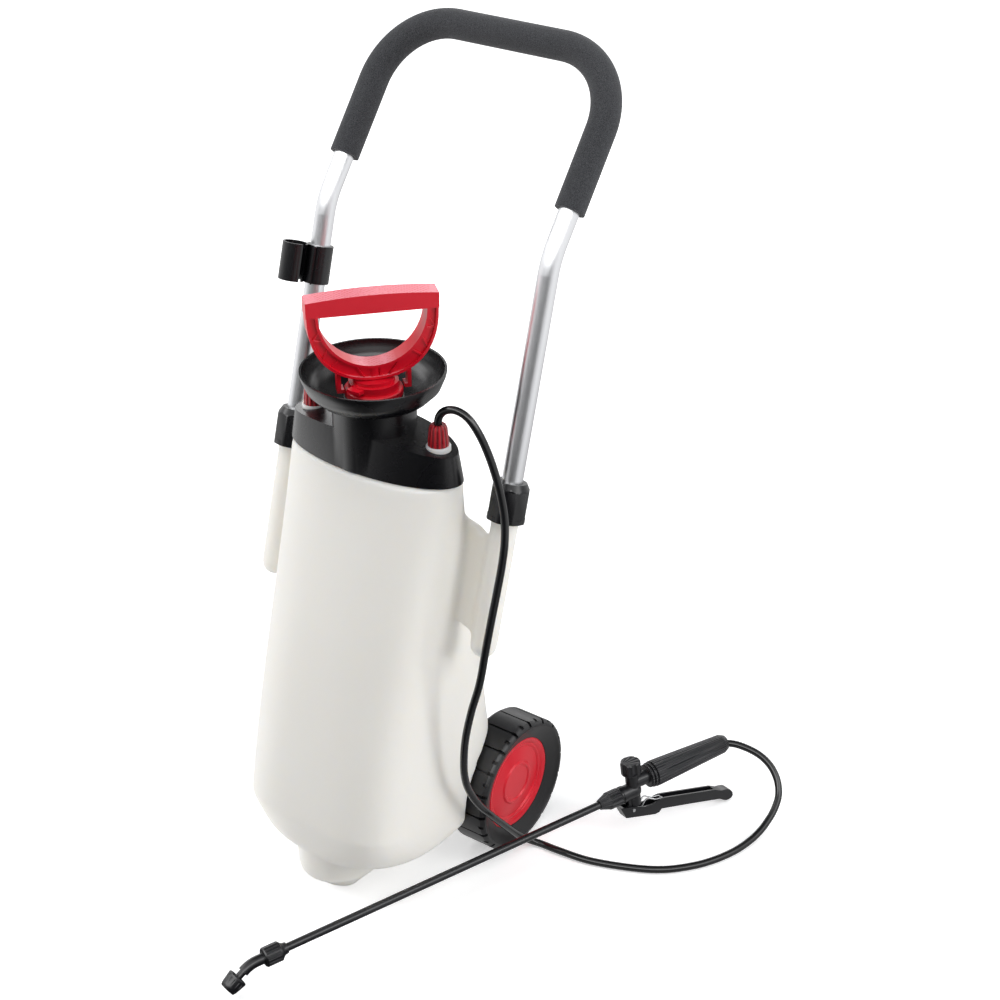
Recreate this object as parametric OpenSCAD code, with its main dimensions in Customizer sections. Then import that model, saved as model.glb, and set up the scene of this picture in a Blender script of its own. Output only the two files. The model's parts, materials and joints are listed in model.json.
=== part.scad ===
// Wheeled pressure sprayer: a blow-moulded tank on two wheels, a hand pump in the filling
// funnel, a telescopic handle, and a hose with a hand lance that lies on the ground.
// Millimetres. X runs across, Y from front to back, Z up. The origin is the middle of the
// flat pad under the front foot.

/* [Tank] */
// From the middle of the front foot back to the pump axis
pump_y = 82; // [70:1:90]
// Underside of the tank between foot and wheels
base_z = 58; // [53:1:62]
// Radius of the rounded bottom edge
base_r = 22; // [17:1:28]
// Height of the fullest section
belly_z = 118; // [108:1:130]
// Width at the fullest section
belly_w = 214; // [206:1:222]
// Fullest section, from the pump axis forward
belly_front = 145; // [136:1:148]
// Fullest section, from the pump axis back
belly_back = 98; // [90:1:104]
// Underside, from the pump axis forward
base_front = 134; // [126:1:138]
// Height of the flat shoulder under the shroud
shoulder_z = 511; // [500:1:520]
// Width of the shoulder
shoulder_w = 214; // [208:1:220]
// Depth of the shoulder, front to back
shoulder_d = 90; // [88:1:100]
// Radius of the shoulder's edge
shoulder_r = 4; // [2:0.5:6]
// Wall of the tank
tank_wall = 3; // [2.5:0.5:4]
// Half width of the flat pad under the front foot
foot_r = 15; // [12:1:18]
// Half width of the front foot where it leaves the tank
foot_w = 58; // [52:1:62]
// Bore of the filling neck
neck_r = 26; // [25:0.5:27]
// Wall of the filling neck
neck_wall = 5; // [4:0.5:5.5]
// Top of the filling neck
neck_z = 583; // [581:1:585]

/* [Wheels] */
// Radius of the wheel over its lugs
wheel_r = 80; // [77:1:82]
// Width of the wheel
wheel_w = 48; // [45:1:49]
// Outer face of the wheels, from the middle
wheel_face_x = 126; // [124:1:127]
// From the pump axis back to the axle
axle_back = 94; // [93:1:97]
// Radius of the axle
axle_r = 5; // [4:0.5:6]
// Height of the lugs
lug_h = 5; // [3:0.5:6]
// Lugs round the wheel
lugs = 18; // [14:1:22]
// Radius of the red disc
disc_r = 55.5; // [54:0.5:60]
// Room between wheel and tank
wheel_gap = 4.5; // [3.5:0.5:4.5]

/* [Handle] */
// Radius of the handle tube
tube_r = 11; // [10:0.5:11.5]
// Wall of the handle tube
tube_wall = 1.2; // [1:0.1:2]
// Half the distance between the two legs
leg_x = 145.5; // [144:0.5:150]
// Lean of the legs and sleeves
lean = 16.3; // [14:0.1:18]
// Lean of the upper part
upper_lean = 37.8; // [34:0.2:42]
// Length of a leg from the collar's top to the upper bend
leg_l = 232; // [215:1:245]
// Length of the upper part, from bend to crossbar
upper_l = 216; // [205:1:230]
// Radius of the round corners at the crossbar
corner_r = 78; // [66:1:84]
// Radius of the bend between leg and upper part
bend_r = 90; // [70:1:110]
// Radius of the foam grip
foam_r = 16; // [15:0.5:18]
// Where the foam starts, above the bend
foam_start = 51; // [46:1:60]
// From the pump axis back to a leg's axis at the collar's top
collar_back = 41.7; // [38:0.1:43]
// Height of the collar's top
collar_z = 509; // [500:1:515]
// Radius of a collar
collar_r = 20; // [19:0.5:21]
// Height of a collar
collar_h = 42; // [38:1:46]
// Wall of a sleeve
sleeve_wall = 3.4; // [3:0.1:3.8]
// Length of a sleeve below its collar
sleeve_l = 138; // [130:1:142]
// Travel of the handle
handle_travel = 90; // [60:1:100]

/* [Funnel and shroud] */
// Radius of the funnel's rim
rim_r = 76; // [72:1:80]
// Height of the funnel's rim
rim_z = 612; // [609:1:616]
// Underside of the funnel's floor
funnel_z = 577; // [575:1:578]
// Radius of the funnel's column
column_r = 44; // [41:0.5:45]
// Wall of funnel and shroud
shell = 2.4; // [2:0.2:3]
// Height of the shroud's wall
shroud_h = 42; // [38:1:44]
// Width of the shroud's foot
shroud_w = 221; // [216:1:222]
// Depth of the shroud's foot
shroud_d = 86; // [80:1:88]
// From the middle to the outlet and to the relief valve
port_x = 83; // [80:1:88]

/* [Pump] */
// Outer radius of the pump barrel
barrel_r = 20; // [18:0.5:21]
// Wall of the barrel
barrel_wall = 2; // [1.5:0.5:2.5]
// Length of the barrel
barrel_l = 325; // [300:5:340]
// Radius of the pump rod
rod_r = 6; // [5:0.5:7]
// Stroke of the pump
stroke = 200; // [150:10:220]
// Width of the pump handle
grip_w = 136; // [128:1:140]
// Height of the pump handle
grip_h = 93; // [88:1:96]
// Depth of the pump handle
grip_d = 23; // [21:1:26]
// Turn of the pump handle at rest
grip_turn = 49; // [30:1:60]

/* [Outlet, relief valve and hose] */
// Radius of the outlet's nut at its foot
nut_r = 11; // [10.5:0.5:12]
// Height of the outlet's nut
nut_h = 23; // [22:1:26]
// Radius of the hose
hose_r = 4.2; // [4:0.1:4.5]
// Radius of the hose's bore
hose_bore_r = 2.6; // [2.4:0.1:2.8]
// Radius of the dip tube
dip_r = 4; // [3.5:0.5:4]
// Height of the white rings under the outlet's nut and the relief knob
port_ring_z = 550; // [548:1:552]
// Radius of those rings
port_ring_r = 13; // [12.5:0.5:14]
// Radius of their threaded stubs
stub_r = 7.5; // [7:0.5:8]
// Height of the stubs above the rings
stub_h = 12; // [10:1:13]
// Lift of the relief knob
relief_lift = 4; // [3:0.5:5]

/* [Lance] */
// Where the lance enters the gun, across
gun_x = 202.2; // [198:0.2:212]
// Where the lance enters the gun, from the origin back
gun_y = 219.7; // [210:0.1:224]
// Height of the lance there
gun_z = 58.5; // [58.5:0.5:66]
// Heading of the gun, from +X towards +Y
gun_yaw = 68.1; // [66:0.1:70]
// Rise of the gun towards its hose
gun_pitch = 3.2; // [3.05:0.05:5]
// Roll of the gun
gun_roll = -8; // [-8:1:-4]
// Radius of the lance tube
lance_r = 4.5; // [4:0.1:5]
// Length of the lance tube between its nuts
lance_l = 405; // [390:1:406]
// Radius of the lance's nut
lance_nut_r = 10.5; // [10:0.5:12]
// Bend of the nozzle's elbow
elbow_bend = 30; // [24:1:31]
// Radius of the nozzle's cap
nozzle_r = 11.5; // [10:0.5:12]
// Larger radius of the hand grip
hand_r = 15.5; // [14:0.5:16]
// Radius of the hand grip at the hose
hand_end_r = 11.5; // [10.5:0.5:12]
// Length of the hand grip
hand_l = 115; // [104:1:116]
// Width of the trigger lever
lever_w = 13; // [12.5:0.5:15]
// Pull of the trigger lever in degrees
lever_pull = 14; // [8:1:15]

/* [Fits] */
// Radial clearance of a running fit
run_gap = 0.05; // [0.03:0.01:0.08]
// Clearance between parts that don't touch
gap = 0.3; // [0.3:0.05:0.5]

/* [Hidden] */
$fn = 96;
axle_y = pump_y + axle_back;
wheel_in = wheel_face_x - wheel_w;
well_r = wheel_r + wheel_gap;
well_in = wheel_in - 4;
neck_out = neck_r + neck_wall;
sleeve_r = tube_r + run_gap + sleeve_wall;
collar_y = pump_y + collar_back;
housing_r = 13;
shroud_top_w = 102;
shroud_top_d = 36.5;
crown_r = 541;
relief_rod_r = 3;
relief_low_z = shoulder_z - tank_wall - 23;
filter_h = 24;
filter_lap = 8;
filter_foot = 6;
dip_low_z = base_z + tank_wall + filter_foot + filter_h - filter_lap;
cap_r = 30.5;
cap_z = neck_z + 2;
cap_top_z = cap_z + 19;
lug_z = cap_z + 10.5;
barrel_top_z = cap_z + 11;
piston_z = barrel_top_z - barrel_l + 8;
rod_top_z = 616;
grip_low_z = 605;
grip_bar_z = 678;
grip_crown_r = 650;
hook_x = 36.5;
hook_w = 13;
lug_r = hook_x - 3;
bend_run = bend_r * tan((upper_lean - lean) / 2);
collar_lid = 6;
collar_turn = 10;
clip_z = 140.5;
clip_h = 41;
clip_wall = 3.6;
clip_turn = 231;
clip_reach = 27;
clip_ring_r = 14;
clip_ring_wall = 2.2;
filter_r = 5.8;
hook_in = cap_r + 0.8;
seam = 0.02;
seam_lap = 0.3;
hub_z = 24;
disc_sink = 7;
hand_x = 68;
hand_z = 9.8;
hand_dip = 1;
mouth_h = 9;
valve_x = 48;
valve_seat_z = 6;
valve_top_z = 23;
stem_low_z = -30.6;
stem_r = 2.2;
lever_x = 42;
lever_z = -22.6;
elbow_r = 30;
elbow_tube_r = 6;
nozzle_nut_h = 27;
nozzle_nut_r = 11;
nozzle_neck = 8;
cap_start = 10;
tip_l = 27;
// The front foot from its pad up: half width, half length, place back and height.
foot_rings = [[foot_r, 12, -1, 0], [foot_r + 10, 25, -3, 12], [foot_w - 12, 52, -1, 36],
    [foot_w, 56, 6, 85]];
// Ribs of the pump handle: place across, height and slant.
grip_ribs = [[-57.5, 652, 171], [-59, 657, 51], [-50, 636, 64], [-41, 625.5, 35], [-16, 616, 123],
    [6, 614, 94], [22, 617.5, 54], [45.5, 629, 146], [53, 640.5, 116], [61, 661, 125], [59, 656.5, 10]];

// Route of the hose's middle line, from the outlet's nut to the end of the hand grip.
hose_route = [
    [83, 82, 571], [83, 82, 576], [84.5, 82, 582], [88.5, 82.3, 587.8], [94.5, 83, 591.8],
    [102, 84, 593.5], [109, 85, 592.6], [117, 86.3, 588.5], [125, 87.6, 580], [135, 88.5, 565],
    [146, 88, 544], [157, 86, 518], [165, 83, 491], [169, 78, 466], [169, 73, 440],
    [168, 66, 412], [167, 57, 380], [164, 51, 345], [158, 49, 305], [149, 46, 267],
    [141, 46, 229], [136, 49, 195], [133, 55, 166], [131, 67, 139], [131.5, 83, 112],
    [132, 104, 85], [132.5, 130, 54], [133, 154, 26], [137.5, 170, 10], [150, 178, 4.6],
    [175, 180, 4.6], [214, 186, 4.6], [260, 204, 4.6], [290, 222, 4.6], [312, 245, 4.6],
    [327, 268, 4.6], [339, 297, 4.6], [345, 323, 5.5], [348, 342, 9], [349, 358, 14],
    [349, 373, 21], [347, 386, 31], [342, 394, 41], [335, 399, 50], [325, 402, 59],
    [312, 402, 67], [298, 399, 72.5], [284, 395, 75.5], [275, 390.5, 76.5]
];

// ---- Shared shapes ----

function mix(a, b, t) = a + (b - a) * t;
function clamp01(t) = min(1, max(0, t));
function unit(v) = v / norm(v);
function signed_power(v, p) = sign(v) * pow(abs(v), p);

// A closed skin through rings of points that run anticlockwise seen from above.
module skin(rings) {
    n = len(rings[0]);
    top = (len(rings) - 1) * n;
    points = [for (ring = rings) for (p = ring) p];
    sides = [for (i = [0 : len(rings) - 2]) for (j = [0 : n - 1])
        let (a = i * n + j, b = i * n + (j + 1) % n)
        for (f = [[a, a + n, b + n], [a, b + n, b]]) f];
    bottom = [[for (j = [0 : n - 1]) j]];
    lid = [[for (j = [n - 1 : -1 : 0]) top + j]];
    polyhedron(points, concat(sides, bottom, lid), convexity = 6);
}

// A ring of a given bore, outer radius and height.
module ring(bore, outer, h) {
    difference() {
        cylinder(r = outer, h = h);
        translate([0, 0, -1]) cylinder(r = bore, h = h + 2);
    }
}

// A solid of revolution from [radius, height] points.
module turned(profile) {
    rotate_extrude() polygon(profile);
}

// Small flutes cut round a nut: half-round grooves in a circle.
module flutes(count, at_r, groove_r, h) {
    for (i = [0 : count - 1])
        rotate([0, 0, i * 360 / count]) translate([at_r, 0, 0])
            cylinder(r = groove_r, h = h, $fn = 24);
}

module at_pump() {
    translate([0, pump_y, 0]) children();
}

// ---- Tank ----

function rise(z) = clamp01((z - belly_z) / (shoulder_z - belly_z));
function sink(z) = clamp01((belly_z - z) / (belly_z - base_z));
function squareness(z) = mix(mix(4.3, 2.15, pow(rise(z), 0.6)), 2.2, sink(z));
function half_width(z) = mix(belly_w / 2, shoulder_w / 2, rise(z));
function reach_front(z) =
    mix(mix(belly_front, shoulder_d / 2, pow(rise(z), 1.4)), base_front, sink(z));
function reach_back(z) = mix(belly_back, shoulder_d / 2, pow(rise(z), 1.4));

// One level section of the tank, drawn in by an inset, as a superellipse.
function section(z, inset, n = 44) =
    let (w = half_width(z) - inset,
         d = (reach_front(z) + reach_back(z)) / 2 - inset,
         y = pump_y + (reach_back(z) - reach_front(z)) / 2,
         p = 2 / squareness(z))
    [for (i = [0 : n - 1]) let (a = (i + 0.5) * 360 / n)
        [w * signed_power(cos(a), p), y + d * signed_power(sin(a), p), z]];

// Heights and insets of the rings, for a skin drawn in by t all round.
function tank_rings(t) =
    let (low = base_z + t, r1 = base_r - t, high = shoulder_z - t, r2 = max(1, shoulder_r - t))
    concat(
        [for (a = [0 : 15 : 90]) section(low + r1 * (1 - cos(a)), t + r1 * (1 - sin(a)))],
        [for (k = [1 : 3]) section(mix(low + r1, belly_z, k / 3), t)],
        [for (k = [1 : 11]) section(mix(belly_z, high - r2, k / 12), t)],
        [for (a = [0 : 30 : 90]) section(high - r2 * (1 - sin(a)), t + r2 * (1 - cos(a)))]
    );

// The room for a wheel and its axle, grown by t.
module wheel_well(side, t) {
    translate([side * (well_in - t), axle_y, wheel_r]) rotate([0, side * 90, 0])
        cylinder(r = well_r + t, h = 80);
}

module tank_form(t) {
    difference() {
        union() {
            skin(tank_rings(t));
            front_foot(t);
        }
        wheel_well(1, t);
        wheel_well(-1, t);
    }
}

// The foot swells out of the front and comes down to a flat pad.
module front_foot(t) {
    hull() for (ring = foot_rings)
        translate([0, ring[2], max(t, ring[3])]) scale([ring[0] - t, ring[1] - t, 1])
            cylinder(r = 1, h = 1, $fn = 32);
}

// Along a leg: Z runs up the leg's axis and 0 is the top of the collar.
module on_leg(side) {
    translate([side * leg_x, collar_y, collar_z]) rotate([-lean, 0, 0]) children();
}

module sleeve(side) {
    on_leg(side) translate([0, 0, -collar_h - sleeve_l]) {
        cylinder(r = sleeve_r, h = sleeve_l + collar_h / 2);
        sphere(r = sleeve_r);
    }
    // the web that joins the sleeve to the tank
    on_leg(side) rotate([90, 0, 0]) linear_extrude(9, center = true)
        polygon([
            [-side * (leg_x - belly_w / 2 + 16), -collar_h - 12],
            [-side * 30, -collar_h - 16],
            [-side * 22, -collar_h - 24],
            [0, -collar_h - 28],
            [0, -collar_h - sleeve_l + 4],
            [-side * (leg_x - belly_w / 2 + 16), -collar_h - sleeve_l + 22]
        ]);
}

module sleeve_bore(side) {
    on_leg(side) translate([0, 0, -collar_h - sleeve_l]) cylinder(r = tube_r + run_gap, h = 300);
}

// Raised ring and threaded stub for the outlet or the relief valve.
module port(side) {
    translate([side * port_x, pump_y, shoulder_z - 6]) {
        cylinder(r = port_ring_r, h = port_ring_z - shoulder_z + 6);
        cylinder(r = stub_r, h = port_ring_z - shoulder_z + 6 + stub_h);
    }
}

module tank() {
    color("ivory") difference() {
        union() {
            tank_form(0);
            for (side = [-1, 1]) {
                sleeve(side);
                port(side);
            }
            at_pump() translate([0, 0, shoulder_z - 6]) cylinder(r = neck_out, h = neck_z - shoulder_z + 6);
            neck_tabs();
            axle_housing(0);
        }
        difference() {
            tank_form(tank_wall);
            axle_housing(tank_wall);
        }
        for (side = [-1, 1]) {
            sleeve_bore(side);
            translate([side * port_x, pump_y, shoulder_z - 10]) cylinder(r = dip_r + run_gap, h = 100);
        }
        at_pump() translate([0, 0, shoulder_z - 10]) cylinder(r = neck_r, h = 120);
        translate([0, axle_y, wheel_r]) rotate([0, 90, 0])
            cylinder(r = axle_r + run_gap, h = 2 * belly_w, center = true);
    }
}

// The axle's housing, moulded across the back of the tank.
module axle_housing(t) {
    translate([0, axle_y, wheel_r]) rotate([0, 90, 0])
        cylinder(r = housing_r, h = 2 * (well_in - t), center = true);
}

// Two tabs on the neck hold the funnel down.
module neck_tabs() {
    at_pump() for (a = [0, 180]) rotate([0, 0, grip_turn + 24 + a])
        translate([neck_out - 3, -6, funnel_z + shell + gap]) cube([7, 12, 3]);
}

// ---- Shroud and funnel ----

// The two wings as one crowned shell, drawn in by t and cut off at height z.
module wings_form(t, z) {
    intersection() {
        hull() {
            at_pump() translate([0, 0, z]) scale([shroud_w / 2 - t, shroud_d / 2 - t, 1])
                cylinder(r = 1, h = 0.1, $fn = 64);
            at_pump() translate([0, 0, shoulder_z + shroud_h + 6]) scale([shroud_top_w - t, shroud_top_d - t, 1])
                cylinder(r = 1, h = 0.1, $fn = 64);
        }
        translate([0, pump_y + 100, shoulder_z + shroud_h - crown_r]) rotate([90, 0, 0])
            cylinder(r = crown_r - t, h = 200);
    }
}

module shroud() {
    color("dimgray") difference() {
        union() {
            difference() {
                wings_form(0, shoulder_z);
                wings_form(shell, shoulder_z + shell);
                // the open middle of the floor leaves a flange on the shoulder
                at_pump() translate([0, 0, shoulder_z - 1])
                    scale([shroud_w / 2 - 12, shroud_d / 2 - 12, 1]) cylinder(r = 1, h = 8);
                at_pump() cylinder(r = column_r - 1, h = 700);
            }
            at_pump() translate([0, 0, shoulder_z]) cylinder(r = column_r, h = funnel_z - shoulder_z);
        }
        at_pump() translate([0, 0, shoulder_z - 1]) cylinder(r = column_r - shell, h = 100);
        for (side = [-1, 1])
            translate([side * port_x, pump_y, shoulder_z - 1]) cylinder(r = port_ring_r + gap, h = 60);
    }
}

module funnel() {
    color("dimgray") at_pump() turned([
        [neck_out + gap, funnel_z + shell],
        [neck_out + gap, funnel_z],
        [column_r - 2 * shell, funnel_z],
        [column_r - 2 * shell, funnel_z - 6],
        [column_r - shell - run_gap, funnel_z - 6],
        [column_r - shell - run_gap, funnel_z],
        [column_r, funnel_z],
        [rim_r - 16, funnel_z + 7],
        [rim_r - 6, funnel_z + 17],
        [rim_r - 1, rim_z - 6],
        [rim_r, rim_z - 2],
        [rim_r, rim_z],
        [rim_r - shell, rim_z],
        [rim_r - shell - 1, rim_z - 5],
        [rim_r - shell - 6, funnel_z + 18.4],
        [rim_r - shell - 15, funnel_z + 9.4],
        [column_r - 1, funnel_z + shell]
    ]);
}

// ---- Outlet and relief valve ----

// The fluted nut, from its foot up, with a bore for the stub and one for what comes out.
module fluted_nut(top_bore, top_bore_h, cavity_h) {
    difference() {
        turned([
            [stub_r + run_gap, 0],
            [nut_r, 0],
            [nut_r, 4],
            [nut_r - 1.4, nut_h - 4],
            [nut_r - 2.8, nut_h - 0.8],
            [nut_r - 4, nut_h],
            [top_bore, nut_h],
            [top_bore, nut_h - top_bore_h],
            [hose_bore_r, nut_h - top_bore_h],
            [hose_bore_r, cavity_h],
            [stub_r + run_gap, cavity_h]
        ]);
        translate([0, 0, 5]) flutes(12, nut_r + 0.2, 1.1, nut_h);
    }
}

module outlet_nut() {
    color("crimson") translate([port_x, pump_y, port_ring_z])
        fluted_nut(hose_r + gap, port_ring_z + nut_h - hose_route[0].z, stub_h + 1.5);
}

module relief_knob() {
    color("crimson") translate([-port_x, pump_y, port_ring_z]) difference() {
        fluted_nut(hose_bore_r, 1, stub_h + 2);
        translate([0, 0, stub_h]) cylinder(r = relief_rod_r, h = nut_h - stub_h - 3);
    }
    color("crimson") translate([-port_x, pump_y, port_ring_z + nut_h - 3]) cylinder(r = nut_r - 4, h = 3);
}

module relief_stem() {
    color("lightgray") translate([-port_x, pump_y, 0]) {
        translate([0, 0, relief_low_z]) cylinder(r = relief_rod_r, h = port_ring_z + nut_h - 3 - relief_low_z);
        translate([0, 0, relief_low_z]) cylinder(r = 7, h = 3);
    }
}

module relief_seal() {
    color("black") translate([-port_x, pump_y, port_ring_z + stub_h]) ring(relief_rod_r, stub_r - 0.2, 2);
}

module relief_spring() {
    color("silver") translate([-port_x, pump_y, relief_low_z + 3])
        coil(5.2, 0.7, shoulder_z - tank_wall - relief_low_z - 3, 5);
}

module dip_tube() {
    color("lightgray") translate([port_x, pump_y, 0]) {
        translate([0, 0, dip_low_z]) ring(dip_r - 1, dip_r, port_ring_z + stub_h - dip_low_z);
        translate([0, 0, port_ring_z + stub_h]) ring(dip_r - 1, stub_r - 0.3, 1.5);
    }
}

module dip_filter() {
    sieve_h = filter_h - filter_lap;
    color("dimgray") translate([port_x, pump_y, dip_low_z - sieve_h]) difference() {
        turned([
            [0, 0], [filter_r, 0], [filter_r, filter_h - 2], [filter_r - 1.3, filter_h],
            [dip_r, filter_h], [dip_r, sieve_h], [filter_r - 1.3, sieve_h], [filter_r - 1.3, 2],
            [0, 2]
        ]);
        for (a = [0 : 60 : 300]) rotate([0, 0, a]) translate([4, -1, 3]) cube([8, 2, 12]);
    }
}

// ---- Pump ----

module pump_gasket() {
    color("black") at_pump() translate([0, 0, neck_z]) ring(neck_r, cap_r, 2);
}

module pump_cap() {
    color("crimson") at_pump() {
        difference() {
            turned([
                [barrel_r, neck_z - 23],
                [neck_r - run_gap, neck_z - 23],
                [neck_r - run_gap, cap_z],
                [cap_r, cap_z],
                [cap_r, cap_z + 6],
                [cap_r - 1, cap_z + 7],
                [neck_r, cap_z + 7],
                [neck_r, cap_z + 15],
                [22, cap_z + 15],
                [22, cap_top_z],
                [rod_r + run_gap, cap_top_z],
                [rod_r + run_gap, barrel_top_z],
                [barrel_r, barrel_top_z]
            ]);
            translate([0, 0, cap_z - 1]) flutes(24, cap_r + 0.7, 1.3, 7);
        }
        for (a = [0, 180]) rotate([0, 0, grip_turn + 40 + a]) intersection() {
            translate([0, 0, lug_z]) ring(neck_r - 1, lug_r, 3.5);
            translate([0, -8, lug_z]) cube([40, 16, 4]);
        }
    }
}

module pump_barrel() {
    color("lightgray") at_pump() translate([0, 0, barrel_top_z - barrel_l])
        ring(barrel_r - barrel_wall, barrel_r, barrel_l);
}

module foot_valve() {
    color("dimgray") at_pump() translate([0, 0, barrel_top_z - barrel_l]) difference() {
        union() {
            translate([0, 0, -6]) cylinder(r = barrel_r, h = 6);
            cylinder(r = barrel_r - barrel_wall, h = 6);
        }
        for (a = [0 : 90 : 270]) rotate([0, 0, a]) translate([9, 0, -7]) cylinder(r = 3, h = 14);
    }
}

module piston() {
    color("dimgray") at_pump() translate([0, 0, piston_z]) turned([
        [0, 0], [17.6, 0], [17.6, 5], [15.5, 5], [15.5, 11], [17.6, 11], [17.6, 16],
        [rod_r + run_gap, 16], [rod_r + run_gap, 8], [8.05, 8], [8.05, 4], [0, 4]
    ]);
}

module piston_seal() {
    color("black") at_pump() translate([0, 0, piston_z + 5])
        ring(15.5, barrel_r - barrel_wall - run_gap, 6);
}

module pump_rod() {
    color("silver") at_pump() {
        translate([0, 0, piston_z + 4]) cylinder(r = 8, h = 4);
        translate([0, 0, piston_z + 4]) cylinder(r = rod_r, h = rod_top_z - piston_z - 4);
    }
}

// Half of the handle's outline below its bar: half width, drop, and how square it is.
function bow(w, drop, power) = [for (i = [0 : 32]) let (a = -180 + i * 180 / 32)
    [w * signed_power(cos(a), 2 / power), grip_bar_z + drop * signed_power(sin(a), 2 / power)]];

module grip_plate(depth) {
    rotate([90, 0, 0]) linear_extrude(depth, center = true) children();
}

module pump_handle() {
    out_w = grip_w / 2 - 0.6;
    out_drop = grip_bar_z - grip_low_z;
    in_w = grip_w / 2 - 12.5;
    in_drop = grip_bar_z - grip_low_z - 15.5;
    color("crimson") at_pump() rotate([0, 0, grip_turn]) difference() {
        union() {
            // bar with a crowned top
            intersection() {
                translate([-grip_w / 2, -grip_d / 2, grip_bar_z]) cube([grip_w, grip_d, 30]);
                translate([0, 0, grip_low_z + grip_h - grip_crown_r]) rotate([90, 0, 0])
                    cylinder(r = grip_crown_r, h = 40, center = true);
            }
            // thin web just behind the front edges
            translate([0, 4.5 - grip_d / 2, 0]) grip_plate(3) difference() {
                polygon(bow(out_w, out_drop, 2.3));
                polygon(bow(in_w, in_drop, 2));
            }
            // flange round the outside
            grip_plate(grip_d) difference() {
                polygon(bow(out_w, out_drop, 2.3));
                polygon(bow(out_w - 2.6, out_drop - 2.6, 2.3));
            }
            // flange round the opening
            grip_plate(grip_d) difference() {
                polygon(bow(in_w + 3, in_drop + 3, 2));
                polygon(bow(in_w, in_drop, 2));
            }
            // ribs between the flanges
            grip_plate(grip_d - 3) intersection() {
                difference() {
                    polygon(bow(out_w - 1, out_drop - 1, 2.3));
                    polygon(bow(in_w + 1, in_drop + 1, 2));
                }
                union() for (rib = grip_ribs)
                    translate([rib[0], rib[1]]) rotate(rib[2]) square([22, 1.5], center = true);
            }
            // boss round the rod, and the two hooks
            translate([0, 0, cap_top_z]) cylinder(r = 10, h = rod_top_z - cap_top_z + 2);
            for (side = [-1, 1]) {
                translate([side * hook_x - 2, -hook_w / 2, lug_z - 5]) cube([4, hook_w, 26]);
                translate([side * (hook_in + hook_x + 2) / 2, 0, lug_z - 3])
                    cube([hook_x + 2 - hook_in, hook_w, 4], center = true);
            }
        }
        translate([0, 0, cap_top_z - 1]) cylinder(r = rod_r, h = rod_top_z - cap_top_z + 1);
    }
}

// ---- Folding and sliding handle ----

// Along the upper part: Z runs up it from where it crosses the leg.
module on_upper() {
    on_leg(1) translate([0, 0, leg_l]) rotate([-(upper_lean - lean), 0, 0]) children();
}

// A bent pipe: a quarter or less of a ring swept about Z.
module pipe_bend(bend, r, bore, angle) {
    rotate_extrude(angle = angle) translate([bend, 0]) difference() {
        circle(r = r);
        circle(r = bore);
    }
}

// One half of the upper part with its corner and crossbar, from a height up.
module upper_path(r, bore, from) {
    on_upper() {
        translate([0, 0, from]) ring(bore, r, upper_l - corner_r - from);
        translate([-corner_r, 0, upper_l - corner_r]) rotate([90, 0, 0]) pipe_bend(corner_r, r, bore, 90);
        translate([-leg_x, 0, upper_l]) rotate([0, 90, 0]) ring(bore, r, leg_x - corner_r);
    }
}

module handle_tube() {
    low = -collar_h - sleeve_l;
    bore = tube_r - tube_wall;
    color("silver") for (m = [0, 1]) mirror([m, 0, 0]) {
        on_leg(1) {
            translate([0, 0, low]) ring(bore, tube_r, leg_l - bend_run - low + seam_lap);
            // a hair thinner than the straight lengths that lap over its ends
            translate([0, bend_r, leg_l - bend_run]) rotate([90, 0, -90])
                pipe_bend(bend_r, tube_r - seam, bore + seam, upper_lean - lean);
        }
        upper_path(tube_r, bore, bend_run - seam_lap);
    }
}

module foam_grip() {
    color("dimgray") for (m = [0, 1]) mirror([m, 0, 0]) upper_path(foam_r, tube_r, foam_start);
}

// A collar screwed round the top of a sleeve, with eight flats for the fingers.
module collar(side) {
    color("dimgray") on_leg(side) translate([0, 0, -collar_h]) difference() {
        union() {
            cylinder(r = collar_r, h = 5);
            intersection() {
                turned([
                    [0, 0], [collar_r + 0.6, 0], [collar_r + 0.6, collar_h - 8],
                    [collar_r - 4, collar_h], [0, collar_h]
                ]);
                rotate([0, 0, collar_turn]) cylinder(r = collar_r + 1, h = collar_h, $fn = 8);
            }
        }
        translate([0, 0, -1]) cylinder(r = sleeve_r + run_gap, h = collar_h - collar_lid + 1);
        cylinder(r = tube_r + gap, h = collar_h + 1);
    }
}

module collar_left() { collar(-1); }
module collar_right() { collar(1); }

// A split ring that the collar squeezes on the tube.
module collet(side) {
    color("white") on_leg(side) translate([0, 0, -collar_h / 2]) difference() {
        ring(tube_r + run_gap, sleeve_r - gap, collar_h / 2 - collar_lid - gap);
        for (a = [0 : 90 : 270]) rotate([0, 0, a]) translate([tube_r - 1, -1, 3]) cube([6, 2, 15]);
    }
}

module collet_left() { collet(-1); }
module collet_right() { collet(1); }

// A clip on the left leg with an open ring for the lance, and a fin to press it on with.
module lance_clip() {
    color("dimgray") on_leg(-1) translate([0, 0, clip_z]) difference() {
        union() {
            cylinder(r = tube_r + clip_wall, h = clip_h);
            rotate([0, 0, clip_turn]) translate([clip_reach, 0, 0])
                cylinder(r = clip_ring_r, h = clip_h);
            rotate([0, 0, clip_turn - 12]) translate([4, tube_r + 1, 0]) cube([1.8, 7.5, clip_h]);
        }
        translate([0, 0, -1]) cylinder(r = tube_r + run_gap, h = clip_h + 2);
        rotate([0, 0, clip_turn]) translate([clip_reach, 0, -1]) {
            cylinder(r = clip_ring_r - clip_ring_wall, h = clip_h + 2);
            rotate([0, 0, 125]) translate([clip_ring_r - 5, -2.5, 0]) cube([10, 5, clip_h + 2]);
        }
    }
}

// ---- Wheels ----

// Along the axle to one side, from the wheel's inner face outwards.
module at_wheel(side) {
    translate([side * wheel_in, axle_y, wheel_r]) rotate([0, side * 90, 0]) children();
}

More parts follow.
